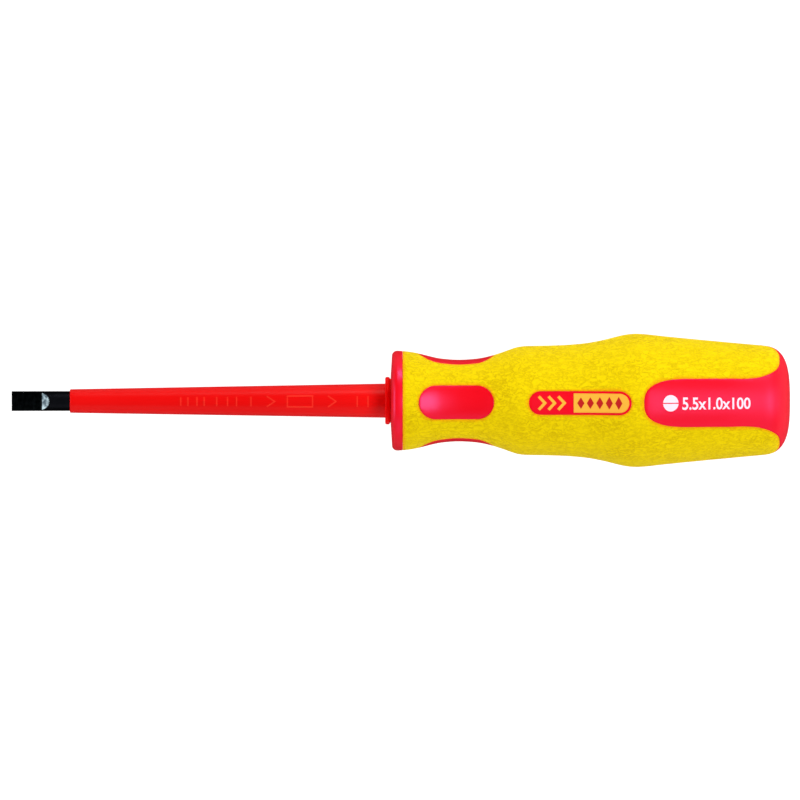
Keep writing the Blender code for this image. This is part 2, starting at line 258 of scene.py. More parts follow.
def profile_radius(places):
    """The radius at each place: a smooth curve through the profile, then the rounded end."""
    stations, radii = np.array(HANDLE_PROFILE_MM).T * MM
    steps = np.diff(stations)
    slopes = np.diff(radii) / steps
    before, after = slopes[:-1], slopes[1:]
    tangents = np.zeros(len(stations))
    tangents[1:-1] = np.where(before * after > 0, 2 * before * after / (before + after), 0)
    tangents[-1] = HANDLE_TAPER
    i = np.clip(np.searchsorted(stations, places) - 1, 0, len(slopes) - 1)
    t = np.clip((places - stations[i]) / steps[i], 0, 1)
    smooth = (
        radii[i] * (1 + 2 * t) * (1 - t) ** 2
        + tangents[i] * steps[i] * t * (1 - t) ** 2
        + radii[i + 1] * t * t * (3 - 2 * t)
        + tangents[i + 1] * steps[i] * t * t * (t - 1)
    )
    share = np.clip((places - TAPER_END) / (HANDLE_END - TAPER_END), 0, 1)
    taper = radii[-1] + HANDLE_TAPER * (places - TAPER_END)
    rounded = taper * (1 - share**END_POWER) ** (1 / END_POWER)
    return np.where(places > TAPER_END, rounded, smooth)


def softened(places, radii, reach):
    """The radii averaged over a bell curve, which evens out the curvature between stations."""
    step = places[1] - places[0]
    count = int(3 * reach / step)
    bell = np.exp(-0.5 * (np.arange(-count, count + 1) * step / reach) ** 2)
    padded = np.pad(radii, count, mode="edge")
    return np.convolve(padded, bell / bell.sum(), mode="valid")


def make_profile():
    """Dense samples of the profile: place, radius and length along the curve."""
    straight = np.arange(COLLAR_ROUND_END - 4 * MM, TAPER_END, 0.1 * MM)
    turn = np.linspace(0, math.pi / 2, 90)
    rounded = TAPER_END + (HANDLE_END - TAPER_END) * np.sin(turn) ** (2 / END_POWER)
    radii = profile_radius(straight)
    even = np.append(straight, np.arange(TAPER_END, TAPER_END + 4 * MM, 0.1 * MM))
    soft = softened(even, profile_radius(even), 1.0 * MM)[: len(straight)]
    radii = np.where(straight < TAPER_END - 2 * MM, soft, radii)
    places = np.append(straight, rounded)
    radii = np.append(radii, profile_radius(rounded))
    lengths = np.append(0, np.cumsum(np.hypot(np.diff(places), np.diff(radii))))
    return places, radii, lengths


PLACES, RADII, LENGTHS = make_profile()
SLOPE_X = np.gradient(PLACES, LENGTHS)
SLOPE_R = np.gradient(RADII, LENGTHS)


def radius_at(x):
    return np.interp(x, PLACES, RADII)


def length_at(x):
    return np.interp(x, PLACES, LENGTHS)


def place_at(length):
    return np.interp(length, LENGTHS, PLACES)


def on_handle(lengths, angles, lifts):
    """Points at a length along the profile and an angle about the axis, lifted along the normal."""
    x = place_at(lengths) - np.interp(lengths, LENGTHS, SLOPE_R) * lifts
    r = np.interp(lengths, LENGTHS, RADII) + np.interp(lengths, LENGTHS, SLOPE_X) * lifts
    return np.stack([x, r * np.sin(angles), r * np.cos(angles)], axis=-1)


def under_handle(lengths, angles, depth):
    """Points straight below the surface, towards the axis."""
    r = np.interp(lengths, LENGTHS, RADII) - depth
    return np.stack([place_at(lengths), r * np.sin(angles), r * np.cos(angles)], axis=-1)


# ---- Windows ----------------------------------------------------------------------------------------


def stadium_half_angle(x, window, grow):
    start, end, half = window[0] - grow, window[1] + grow, window[2] + grow
    inside = np.clip(np.minimum(x - start, end - x), 0, half)
    width = np.sqrt(half**2 - (half - inside) ** 2)
    return np.arcsin(width / radius_at(x))


def rear_half_angle(x, grow):
    start, half = REAR_WINDOW_START - grow, REAR_WINDOW_HALF + grow
    share = np.clip((x - start) / REAR_WINDOW_NOSE, 0, 1)
    width = half * (1 - (1 - share) ** REAR_NOSE_POWER) ** (1 / REAR_NOSE_POWER)
    window = np.arcsin(width / radius_at(x))
    petal = SIXTH - math.asin(half / radius_at(PETAL_START))
    share = np.clip((x - PETAL_START) / (PETAL_TIP - grow - PETAL_START), 0, 1)
    rise, blunt = PETAL_POWERS
    flare = SIXTH - petal * (1 - share**rise) ** blunt
    return np.where(x < PETAL_START, window, flare)


def inlay_half_angle(x, grow):
    """Square in front and round behind, inside the rim of the badge."""
    start, end = INLAY_START - grow, BADGE_WINDOW[1] - INLAY_RIM + grow
    half = BADGE_WINDOW[2] - INLAY_RIM + grow
    inside = np.clip(end - x, 0, half)
    width = np.where(x < start, 0, np.sqrt(half**2 - (half - inside) ** 2))
    return np.arcsin(width / radius_at(x))


def near(angles, centre):
    """How far each angle is from the centre, the short way round."""
    return np.abs((angles - centre + math.pi) % TURN - math.pi)


def in_window(x, angles, grow):
    """Which points lie in one of the windows, each larger than its name size by grow all round."""
    found = near(angles, 0) < stadium_half_angle(x, BADGE_WINDOW, grow)
    for centre in WAIST_WINDOW_ANGLES:
        found |= near(angles, centre) < stadium_half_angle(x, WAIST_WINDOW, grow)
    for centre in REAR_WINDOW_ANGLES:
        found |= near(angles, centre) < rear_half_angle(x, grow)
    return found | (x > PETAL_TIP - grow)


def blunt_arc(count, power):
    """A quarter of a blunt ellipse, from (0, 1) to (1, 0)."""
    turn = np.linspace(0, math.pi / 2, count)
    return np.sin(turn) ** (2 / power), np.cos(turn).clip(0) ** (2 / power)


def stadium_loop(window, centre, grow):
    """A closed loop of (lengths, angles) round a window with round ends."""
    start, end, half = window[0] - grow, window[1] + grow, window[2] + grow
    wide, back = blunt_arc(20, 2)
    nose = start + half * (1 - back)
    middle = np.linspace(start + half, end - half, 28)[1:-1]
    tail = end - half * (1 - back[::-1])
    x = np.concatenate([nose, middle, tail])
    angles = stadium_half_angle(x, window, grow)
    angles[0] = angles[-1] = 0
    lengths = length_at(x)
    return (
        np.concatenate([lengths, lengths[-2:0:-1]]),
        centre + np.concatenate([angles, -angles[-2:0:-1]]),
    )


def evenly(lengths, angles, step):
    """The same line with points about one step apart."""
    along = np.append(0, np.cumsum(np.hypot(np.diff(lengths), np.diff(angles) * UNROLL_R)))
    places = np.linspace(0, along[-1], math.ceil(along[-1] / step) + 1)
    return np.interp(places, along, lengths), np.interp(places, along, angles)


def rear_chain(grow):
    """An open loop once round the handle, along the edge of all three rear windows."""
    _, back = blunt_arc(300, REAR_NOSE_POWER)
    nose = REAR_WINDOW_START - grow + REAR_WINDOW_NOSE * (1 - back)
    middle = np.linspace(nose[-1], PETAL_START, 60)[1:-1]
    towards_tip = 1 - np.linspace(1, 0, 600) ** 4
    petal = PETAL_START + (PETAL_TIP - grow - PETAL_START) * towards_tip
    x = np.concatenate([nose, middle, petal])
    half = rear_half_angle(x, grow)
    half[0], half[-1] = 0, SIXTH
    lengths, half = evenly(length_at(x), half, LOOP_STEP)
    all_lengths, all_angles = [], []
    for centre in (SEAM_ANGLE + SIXTH * i for i in (1, 3, 5)):
        all_lengths += [lengths[::-1], lengths[1:]]
        all_angles += [centre - half[::-1], centre + half[1:]]
    keep = np.append(True, np.abs(np.diff(np.concatenate(all_angles))) > 1e-9)
    keep |= np.append(True, np.abs(np.diff(np.concatenate(all_lengths))) > 1e-9)
    return np.concatenate(all_lengths)[keep], np.concatenate(all_angles)[keep]


def inlay_loop(grow):
    """The closed loop of (lengths, angles) round the inlay."""
    start, end = INLAY_START - grow, BADGE_WINDOW[1] - INLAY_RIM + grow
    half = BADGE_WINDOW[2] - INLAY_RIM + grow
    _, back = blunt_arc(16, 2)
    x = np.concatenate([np.linspace(start, end - half, 34)[:-1], end - half * (1 - back[::-1])])
    angles = inlay_half_angle(x, grow)
    angles[-1] = 0
    across = angles[0] * np.linspace(-1, 1, 18)[1:-1]
    lengths = length_at(x)
    return (
        np.concatenate([lengths, lengths[-2::-1], np.full(len(across), lengths[0])]),
        TURN + np.concatenate([angles, -angles[-2::-1], across]),
    )


def lip(radius, steps):
    """A rounded edge as (distance from the edge, depth) pairs, from the wall to the surface."""
    turns = [math.pi / 2 * (1 - i / steps) for i in range(steps + 1)]
    return [(radius * (1 - math.sin(turn)), radius * (1 - math.cos(turn))) for turn in turns]


# ---- Meshing ----------------------------------------------------------------------------------------


def shade(mesh, angle):
    mesh.shade_smooth()
    mesh.set_sharp_from_angle(angle=math.radians(angle))


def piece_from(name, points, faces, node, finish, sharp=40):
    """A closed, smooth-shaded piece on the root body. Coincident points are joined."""
    mesh = bpy.data.meshes.new(name)
    mesh.from_pydata([tuple(p) for p in points], [], faces)
    bm = bmesh.new()
    bm.from_mesh(mesh)
    bmesh.ops.remove_doubles(bm, verts=bm.verts, dist=2e-6)
    loose = [v for v in bm.verts if not v.link_faces]
    bmesh.ops.delete(bm, geom=loose, context="VERTS")
    bmesh.ops.recalc_face_normals(bm, faces=bm.faces)
    bm.to_mesh(mesh)
    bm.free()
    shade(mesh, sharp)
    mesh.materials.append(finish)
    made = bpy.data.objects.new(name, mesh)
    bpy.context.scene.collection.objects.link(made)
    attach(made, "root")
    if node:
        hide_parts(node)
    return made


def unrolled(loops, rows):
    """Triangles over the unrolled handle between the first and the last row.

    Each loop is (lengths, angles, lift, closed), and its edges are kept. Returns the lengths, angles
    and lifts of the points, and the faces.
    """
    points, edges = [], []
    for lengths, angles, lift, closed in loops:
        first = len(points)
        points += [(s, a, lift) for s, a in zip(lengths, angles)]
        edges += [(i, i + 1) for i in range(first, len(points) - 1)]
        if closed:
            edges.append((len(points) - 1, first))
    tree = kdtree.KDTree(len(points))
    for i, (s, a, _) in enumerate(points):
        tree.insert(on_handle(s, a, 0.0), i)
    tree.balance()
    columns = SEAM_ANGLE + TURN * np.arange(COLUMNS + 1) / COLUMNS
    for row, s in enumerate(rows):
        end = row in (0, len(rows) - 1)
        spots = on_handle(np.full(len(columns), s), columns, 0.0)
        for a, spot in zip(columns, spots):
            if end or tree.find(spot)[2] > LOOP_CLEARANCE:
                points.append((s, a, 0.0))
    for edge in (SEAM_ANGLE, SEAM_ANGLE + TURN):
        side = sorted((p[0], i) for i, p in enumerate(points) if abs(p[1] - edge) < 1e-9)
        edges += [(i, j) for (_, i), (_, j) in zip(side, side[1:])]
    flat = [Vector((s / MM, a * UNROLL_R / MM)) for s, a, _ in points]
    found, _, faces, sources, _, _ = geometry.delaunay_2d_cdt(flat, edges, [], 0, 1e-6)
    lifts = np.array([points[source[0]][2] if source else 0.0 for source in sources])
    lengths = np.array([p.x for p in found]) * MM
    angles = np.array([p.y for p in found]) * MM / UNROLL_R
    return lengths, angles, lifts, [list(f) for f in faces]


def window_loops(side, lip_radius):
    """The edge loops of every window with a rounded lip: side 1 is the grip's, -1 the shell's."""
    loops = []
    for away, depth in lip(lip_radius, LIP_STEPS):
        grow = side * (SEAM_GAP / 2 + away)
        stadiums = [(WAIST_WINDOW, centre) for centre in WAIST_WINDOW_ANGLES]
        stadiums.append((BADGE_WINDOW, 0.0))
        for window, centre in stadiums:
            centre = SEAM_ANGLE + (centre - SEAM_ANGLE) % TURN
            loops.append((*stadium_loop(window, centre, grow), -depth, True))
        loops.append((*rear_chain(grow), -depth, False))
    return loops


def edges_of(face):
    return zip(face, [*face[1:], face[0]])


def walls(faces, offset, skip=()):
    """Quads along every open edge of a sheet, down to a copy whose points come offset later."""
    edges = Counter(tuple(sorted(pair)) for face in faces for pair in edges_of(face))
    made = []
    for face in faces:
        for a, b in edges_of(face):
            if edges[tuple(sorted((a, b)))] == 1 and (a, b) not in skip:
                made.append((b, a, a + offset, b + offset))
    return made


def steps_between(faces, levels, offset):
    """Quads between faces that share an edge but lie on different levels of points."""
    owners = {}
    for face, level in zip(faces, levels):
        for pair in edges_of(face):
            owners.setdefault(tuple(sorted(pair)), []).append(level * offset)
    return [
        (a + high, b + high, b + low, a + low)
        for (a, b), (high, low, *_) in ((pair, [*found, None]) for pair, found in owners.items())
        if low is not None and high != low
    ]


def middles(lengths, angles, faces):
    """The place and angle at the middle of each face."""
    corners = np.array(faces)
    return place_at(lengths[corners].mean(axis=1)), angles[corners].mean(axis=1)


def seam_edges(angles, faces):
    """The faces' edges that lie along either side of the unrolled sheet."""
    sides = [np.abs(angles - edge) < 1e-6 for edge in (SEAM_ANGLE, SEAM_ANGLE + TURN)]
    return {
        (a, b) for face in faces for a, b in edges_of(face) if any(side[a] and side[b] for side in sides)
    }


def rings(outline, segments):
    """Points and quads of a surface of revolution through an outline of (x, radius)."""
    turns = SEAM_ANGLE + TURN * np.arange(segments) / segments
    return strips([around(x, np.full(segments, r), turns) for x, r in outline])


def around(x, radii, turns):
    return [(x, r * math.sin(turn), r * math.cos(turn)) for r, turn in zip(radii, turns)]


def strips(sections):
    """Points and quads of a surface through closed sections of as many points each."""
    count = len(sections[0])
    faces = []
    for first in range(0, (len(sections) - 1) * count, count):
        for i in range(count):
            a, b = first + i, first + (i + 1) % count
            faces.append((a, b, b + count, a + count))
    return [point for section in sections for point in section], faces


def shifted(faces, offset):
    return [tuple(i + offset for i in face) for face in faces]


# ---- Handle -----------------------------------------------------------------------------------------


def make_grip(finish):
    """The yellow overmould: a sleeve with a rounded lip at every edge."""
    start = GRIP_START + SEAM_GAP / 2
    columns = SEAM_ANGLE + TURN * np.arange(COLUMNS + 1) / COLUMNS
    front = [(length_at(start + away), -depth) for away, depth in lip(GRIP_LIP, LIP_STEPS)]
    loops = window_loops(1, GRIP_LIP)
    loops += [(np.full(COLUMNS + 1, s), columns, lift, False) for s, lift in front]
    end = length_at(MESHED_END)
    rows = [*np.arange(front[-1][0] + ROW_STEP, end, ROW_STEP), end]
    lengths, angles, lifts, faces = unrolled(loops, rows)
    x, middle = middles(lengths, angles, faces)
    outside = ~in_window(x, middle, SEAM_GAP / 2)
    faces = [face for face, keep in zip(faces, outside) if keep]
    top = on_handle(lengths, angles, lifts)
    under = under_handle(lengths, angles, GRIP_THICKNESS)
    sheet = faces + shifted([face[::-1] for face in faces], len(top))
    sheet += walls(faces, len(top), seam_edges(angles, faces))
    grip = piece_from("grip_overmould", [*top, *under], sheet, "soft_grip", finish)
    mark_seam_shade(grip)


def mark_seam_shade(grip):
    """Stores a 1 at the points beside the grip's edges, else a 0. The yellow finish darkens them to
    orange there, as painted shade of the seams.
    """
    x, y, z = np.array([v.co for v in grip.data.vertices]).T
    beside = in_window(x, np.arctan2(y, z), SEAM_SHADE_WIDTH) | (x < GRIP_START + SEAM_SHADE_WIDTH)
    rim = grip.data.attributes.new("rim", "FLOAT", "POINT")
    rim.data.foreach_set("value", beside.astype(np.float32))


def collar_outline(inner_r):
    """From the step under the grip, over the collar's rim and face, to the closed end of the bore."""
    x = GRIP_START - SEAM_GAP / 2
    outline = [(GRIP_START, inner_r), (x, inner_r)]
    outline += [(x - away, float(radius_at(x)) - depth) for away, depth in lip(SHELL_LIP, LIP_STEPS)]
    for i in range(COLLAR_STEPS + 1):
        turn = math.pi / 2 * (1 - i / COLLAR_STEPS)
        across = COLLAR_ROUND_END - (COLLAR_ROUND_END - COLLAR_RIM) * math.cos(turn)
        outline.append((across, COLLAR_RIM_R + (COLLAR_R - COLLAR_RIM_R) * math.sin(turn)))
    bore = CORE_R + UNDER_GRIP
    outline += [(COLLAR_FACE, NOSE_R), (COLLAR_FACE, bore)]
    return [*outline, (CORE_END + UNDER_GRIP, bore), (CORE_END + UNDER_GRIP, 0)]


def make_shell_and_inlay(shell_finish, inlay_finish):
    """The red body, meshed in one with the place of the inlay, and the inlay itself."""
    loops = window_loops(-1, SHELL_LIP)
    loops.append((*inlay_loop(SEAM_GAP / 2), 0.0, True))
    for away, depth in lip(SHELL_LIP, LIP_STEPS):
        loops.append((*inlay_loop(-SEAM_GAP / 2 - away), -depth, True))
    end = length_at(MESHED_END)
    rows = [*np.arange(length_at(GRIP_START), end - ROW_STEP / 2, ROW_STEP), end]
    lengths, angles, lifts, faces = unrolled(loops, rows)
    x, middle = middles(lengths, angles, faces)
    raised = in_window(x, middle, -SEAM_GAP / 2)
    recess = near(middle, 0) < inlay_half_angle(x, SEAM_GAP / 2)
    levels = np.where(recess, 2, np.where(raised, 0, 1))
    top = on_handle(lengths, angles, lifts)
    under = under_handle(lengths, angles, GRIP_THICKNESS + UNDER_GRIP)
    floor = under_handle(lengths, angles, INLAY_THICKNESS + UNDER_GRIP)
    points = [*top, *under, *floor]
    sheet = [shifted([face], level * len(top))[0] for face, level in zip(faces, levels)]
    sheet += steps_between(faces, levels, len(top))

    inner_r = float(radius_at(GRIP_START)) - GRIP_THICKNESS - UNDER_GRIP
    added, quads = rings(collar_outline(inner_r), COLUMNS)
    sheet += shifted(quads, len(points))
    points += added
    ends = end + (LENGTHS[-1] - end) * np.linspace(0, 1, CAP_STEPS) ** 0.8
    cap = [(float(place_at(s)), float(np.interp(s, LENGTHS, RADII))) for s in ends]
    added, quads = rings([*cap, (HANDLE_END, 0)], COLUMNS)
    sheet += shifted(quads, len(points))
    points += added
    piece_from("shell_moulding", points, sheet, "handle_shell", shell_finish)

    panel = near(middle, 0) < inlay_half_angle(x, -SEAM_GAP / 2)
    faces = [face for face, keep in zip(faces, panel) if keep]
    under = under_handle(lengths, angles, INLAY_THICKNESS)
    sheet = faces + shifted([face[::-1] for face in faces], len(top)) + walls(faces, len(top))
    piece_from("inlay_panel", [*top, *under], sheet, "badge_inlay", inlay_finish)


# ---- Core, sleeve and blade -------------------------------------------------------------------------


def lofted(name, sections, node, finish):
    """A piece through sections (x, radii), with radii spread evenly about the axis."""
    turns = TURN * np.arange(SEGMENTS) / SEGMENTS
    points, faces = strips([around(x, np.broadcast_to(radii, SEGMENTS), turns) for x, radii in sections])
    return piece_from(name, points, faces, node, finish)


def turned_edge(x, r, side, radius):
    """The arc of a rounded outer edge at (x, r). Side -1 turns it from a face on its left."""
    turns = [math.pi / 2 * i / EDGE_STEPS for i in range(EDGE_STEPS + 1)]
    arc = [(x - side * radius * (1 - math.sin(t)), r - radius * (1 - math.cos(t))) for t in turns]
    return arc if side > 0 else arc[::-1]


def wing_radii(grow):
    """A shank pressed flat in Z and spread in Y."""
    turns = TURN * np.arange(SEGMENTS) / SEGMENTS
    across = (WING_WIDTH / 2 + grow) / np.maximum(np.abs(np.sin(turns)), 1e-6)
    through = (WING_THICKNESS / 2 + grow) / np.maximum(np.abs(np.cos(turns)), 1e-6)
    return np.minimum(across, through)


def shank_sections(start, grow):
    """The shank from start to its hidden end, with its two pressed wings, larger by grow."""
    sections = [(start, SHANK_R + grow)]
    for first, last in WING_SPANS:
        sections += [
            (first, SHANK_R + grow),
            (first + WING_SHOULDER, wing_radii(grow)),
            (last - WING_SHOULDER, wing_radii(grow)),
            (last, SHANK_R + grow),
        ]
    return [*sections, (BLADE_LENGTH + grow, SHANK_R + grow), (BLADE_LENGTH + grow, 0)]


def sleeve_sections(grow):
    """The sleeve's outside from the nose of the core backwards, larger by grow."""
    sections = [(NOSE_START, SLEEVE_NECK_R + grow)]
    for first, last in ANCHOR_RINGS:
        sections += [
            (first - grow, SLEEVE_NECK_R + grow),
            (first - grow, ANCHOR_RING_R + grow),
            (last + grow, ANCHOR_RING_R + grow),
            (last + grow, SLEEVE_NECK_R + grow),
        ]
    return [*sections, (SLEEVE_END + grow, SLEEVE_NECK_R + grow)]


def core_sections():
    """The outside of the core behind its nose: a round neck, then a hexagon with two grooves."""
    turns = TURN * np.arange(SEGMENTS) / SEGMENTS
    hexagon = CORE_HEX_FLAT_R / np.cos((turns + SIXTH / 2) % SIXTH - SIXTH / 2)
    sections = [(NOSE_END, CORE_R), (CORE_HEX_START, CORE_R), (CORE_HEX_START, hexagon)]
    for first, last in CORE_GROOVES:
        sections += [(first, hexagon), (first, CORE_GROOVE_R), (last, CORE_GROOVE_R), (last, hexagon)]
    return [*sections, (CORE_END, hexagon), (CORE_END, 0)]


def make_core(finish):
    inside = [*sleeve_sections(ROUND_GAP), *shank_sections(SLEEVE_END + ROUND_GAP, ROUND_GAP)]
    nose = turned_edge(NOSE_START, NOSE_R, -1, NOSE_EDGE)
    nose += turned_edge(NOSE_END, NOSE_R, 1, NOSE_EDGE)
    sections = [*reversed(inside), *nose, *core_sections()]
    return lofted("core_moulding", sections, "handle_core", finish)


def sleeve_radius(x):
    return np.interp(x, (SLEEVE_START, NOSE_START), (SLEEVE_START_R, SLEEVE_NECK_R))


def make_sleeve(finish):
    bore = SHANK_R + ROUND_GAP
    front = [(SLEEVE_END, bore), (SLEEVE_START, bore)]
    front += turned_edge(SLEEVE_START, SLEEVE_START_R, -1, SLEEVE_EDGE)
    along = np.linspace(SLEEVE_START, NOSE_START, 60)[1:-1]
    tube = [(x, float(sleeve_radius(x))) for x in along]
    sections = [*front, *tube, *sleeve_sections(0), (SLEEVE_END, bore)]
    return lofted("sleeve_moulding", sections, "blade_sleeve", finish)


def flank_height(x):
    """Half the ground thickness at x: a straight flank, then the hollow run-out of the wheel."""
    tip = TIP_THICKNESS / 2
    if x <= FLANK_END:
        return tip + (FLANK_HALF_THICKNESS - tip) * x / FLANK_END
    share = (x - FLANK_END) / (RUN_OUT_END - FLANK_END)
    climb = RUN_OUT_SLOPE * share + (1 - RUN_OUT_SLOPE) * share**2
    return FLANK_HALF_THICKNESS + (SHANK_R - FLANK_HALF_THICKNESS) * climb


def ground_section(x):
    """A shank section with both flats ground to the height at x, starting from -Y on the front."""
    height = min(flank_height(x), SHANK_R)
    half = math.sqrt(max(SHANK_R**2 - height**2, 0))
    edge = math.atan2(height, half)
    section = []
    for side in (1, -1):
        section += [(x, side * half * y, side * height) for y in np.linspace(-1, 1, FLAT_POINTS)[:-1]]
        for turn in np.linspace(edge, -edge, ARC_POINTS)[:-1]:
            section.append((x, side * SHANK_R * math.cos(turn), side * SHANK_R * math.sin(turn)))
    return section


def make_blade(oxide, ground):
    """The ground tip is meshed along its flats, and the rest of the shank as a loft."""
    flank = np.linspace(0, FLANK_END, FLANK_STEPS)[:-1]
    run_out = FLANK_END + (RUN_OUT_END - FLANK_END) * np.linspace(0, 1, RUN_OUT_STEPS)
    places = [*flank, *run_out]
    sections = [ground_section(float(x)) for x in places]
    count = len(sections[0])
    turns = [math.atan2(y, z) for _, y, z in sections[-1]]
    steps = TURN * np.arange(SEGMENTS + 1) / SEGMENTS
    for x, radii in shank_sections(RUN_OUT_END + SHANK_LEAD, 0):
        ring = np.interp(np.array(turns) % TURN, steps, wrapped(radii))
        sections.append(around(x, ring, turns))
    points, faces = strips(sections)
    faces.append(tuple(range(count)))
    blade = piece_from("blade_steel", points, faces, "blade", oxide, sharp=30)
    blade.data.materials.append(ground)
    for face in blade.data.polygons:
        x, y, z = face.center
        is_ground = x < RUN_OUT_END and math.hypot(y, z) < SHANK_R - GROUND_DEPTH
        face.material_index = int(is_ground)


def wrapped(radii):
    """One radius for each step of a turn, with the first repeated at the end."""
    full = np.broadcast_to(radii, SEGMENTS)
    return np.append(full, full[0])


# ---- Print and relief -------------------------------------------------------------------------------


def flat_shapes(shapes):
    """A flat mesh of polygons given as lists of (u, v) points."""
    bm = bmesh.new()
    for shape in shapes:
        bm.faces.new([bm.verts.new((u, v, 0)) for u, v in shape])
    return bm


def stroke(points, width, closed=False):
    """The outline quads of a line of even width through the points."""
    points = [Vector(p) for p in points]
    count = len(points)
    quads = []
    offsets = []
    for i, point in enumerate(points):
        before = points[i - 1] if i or closed else None
        after = points[(i + 1) % count] if i < count - 1 or closed else None
        way_in = (point - before).normalized() if before is not None else (after - point).normalized()
        way_out = (after - point).normalized() if after is not None else way_in
        across = Vector((-(way_in.y + way_out.y), way_in.x + way_out.x)).normalized()
        spread = width / 2 / max(across.dot(Vector((-way_in.y, way_in.x))), 0.3)
        offsets.append(across * spread)
    for i in range(count if closed else count - 1):
        j = (i + 1) % count
        a, b = points[i], points[j]
        quads.append([a - offsets[i], b - offsets[j], b + offsets[j], a + offsets[i]])
    return quads


def disc_half(centre, radius, gap, side):
    """Half a disc above or below a slot."""
    start = math.asin(gap / 2 / radius)
    turns = np.linspace(start, math.pi - start, 40)
    return [(centre + radius * math.cos(t), side * radius * math.sin(t)) for t in turns]


def lettering(text, height, width):
    """A flat mesh of the text, filling a width and a cap height, its left foot at the origin."""
    curve = bpy.data.curves.new("lettering", "FONT")
    curve.body = text
    curve.offset = LETTER_WEIGHT
    made = bpy.data.objects.new("lettering", curve)
    bpy.context.scene.collection.objects.link(made)
    bpy.context.view_layer.update()
    mesh = made.to_mesh()
    bm = bmesh.new()
    bm.from_mesh(mesh)
    made.to_mesh_clear()
    bpy.data.objects.remove(made)
    bpy.data.curves.remove(curve)
    low = [min(v.co[i] for v in bm.verts) for i in (0, 1)]
    high = [max(v.co[i] for v in bm.verts) for i in (0, 1)]
    for v in bm.verts:
        v.co.x = (v.co.x - low[0]) * width / (high[0] - low[0])
        v.co.y = (v.co.y - low[1]) * height / (high[1] - low[1])
    return bm


def divide(bm, step):
    """Cuts the flat mesh along both directions every step, so that it can bend."""
    bmesh.ops.remove_doubles(bm, verts=bm.verts, dist=1e-6)
    for axis in (0, 1):
        low = min(v.co[axis] for v in bm.verts)
        high = max(v.co[axis] for v in bm.verts)
        for place in np.arange(math.ceil(low / step) * step, high, step):
            at, normal = Vector((0, 0, 0)), Vector((0, 0, 0))
            at[axis], normal[axis] = place, 1
            geom = [*bm.verts, *bm.edges, *bm.faces]
            bmesh.ops.bisect_plane(bm, geom=geom, plane_co=at, plane_no=normal, dist=1e-7)
    bmesh.ops.triangulate(bm, faces=bm.faces)
    bmesh.ops.recalc_face_normals(bm, faces=bm.faces)


def laid_on(name, bm, radius, surface, heights, node, slot, finish):
    """Bends flat shapes onto a surface as thin solids. Heights are their bottom and their top."""
    divide(bm, PRINT_STEP)
    bm.verts.index_update()
    flat = np.array([v.co for v in bm.verts])
    faces = [[v.index for v in face.verts] for face in bm.faces]
    bm.free()
    bottom, top = (surface(flat[:, 0], flat[:, 1] / radius, height) for height in heights)
    sheet = faces + shifted([face[::-1] for face in faces], len(top)) + walls(faces, len(top))
    return piece_from(name, [*top, *bottom], sheet, node, finish)


def on_front(x, angles, lift):
    """A point on the handle's front, at a place along the axis."""
    return on_handle(length_at(x), angles, np.full(len(x), lift))


def on_sleeve(x, angles, lift):
    r = sleeve_radius(x) + lift
    return np.stack([x, r * np.sin(angles), r * np.cos(angles)], axis=-1)


def make_size_mark(finish):
    """A slot symbol and the blade's size, printed on the rear window."""
    radius = float(radius_at(SIZE_MARK_MIDDLE))
    halves = [disc_half(SLOT_DISC, SLOT_DISC_R, SLOT_WIDTH, side) for side in (1, -1)]
    mark = ("size_mark_disc", flat_shapes(halves), radius, on_front, PRINT_HEIGHTS)
    laid_on(*mark, None, None, finish)
    text = lettering(SIZE_MARK, SIZE_MARK_HEIGHT, SIZE_MARK_WIDTH)
    bmesh.ops.translate(text, vec=SIZE_MARK_FOOT, verts=text.verts)
    laid_on("size_mark_text", text, radius, on_front, PRINT_HEIGHTS, None, None, finish)


def chevron(x, reach, half):
    return [(x - reach / 2, half), (x + reach / 2, 0), (x - reach / 2, -half)]


def make_badge_motif(orange, dark):
    """Three chevrons on the red end of the badge, and a row of lozenges on the inlay."""
    radius = float(radius_at(BADGE_MIDDLE))
    quads = []
    for x in BADGE_CHEVRONS:
        quads += stroke(chevron(x, BADGE_CHEVRON_REACH, BADGE_CHEVRON_HALF), BADGE_CHEVRON_WIDTH)
    motif = ("badge_chevrons", flat_shapes(quads), radius, on_front, BADGE_CHEVRON_HEIGHTS)
    laid_on(*motif, "badge_inlay", "inlay_orange", orange)
    long, wide = LOZENGE_HALVES
    lozenges = [[(x - long, 0), (x, -wide), (x + long, 0), (x, wide)] for x in LOZENGES]
    motif = ("badge_lozenges", flat_shapes(lozenges), radius, on_front, PRINT_HEIGHTS)
    laid_on(*motif, None, None, dark)


def make_sleeve_marks(finish):
    """Neutral raised marks along the sleeve's front."""
    radius = float(sleeve_radius(SLEEVE_MIDDLE))
    half, width = SLEEVE_MARK_HALF, SLEEVE_LINE_WIDTH
    quads = []
    for x in SLEEVE_CHEVRONS:
        quads += stroke(chevron(x, SLEEVE_CHEVRON_REACH, half), width)
    start, end = SLEEVE_FRAME
    quads += stroke([(start, -half), (end, -half), (end, half), (start, half)], width, closed=True)
    for x in SLEEVE_BARS_MM:
        quads += stroke([(x * MM, -SLEEVE_BAR_HALF), (x * MM, SLEEVE_BAR_HALF)], width)
    marks = ("sleeve_marks", flat_shapes(quads), radius, on_sleeve, SLEEVE_MARK_HEIGHTS)
    laid_on(*marks, "blade_sleeve", "sleeve_red", finish)


# ---- Materials --------------------------------------------------------------------------------------


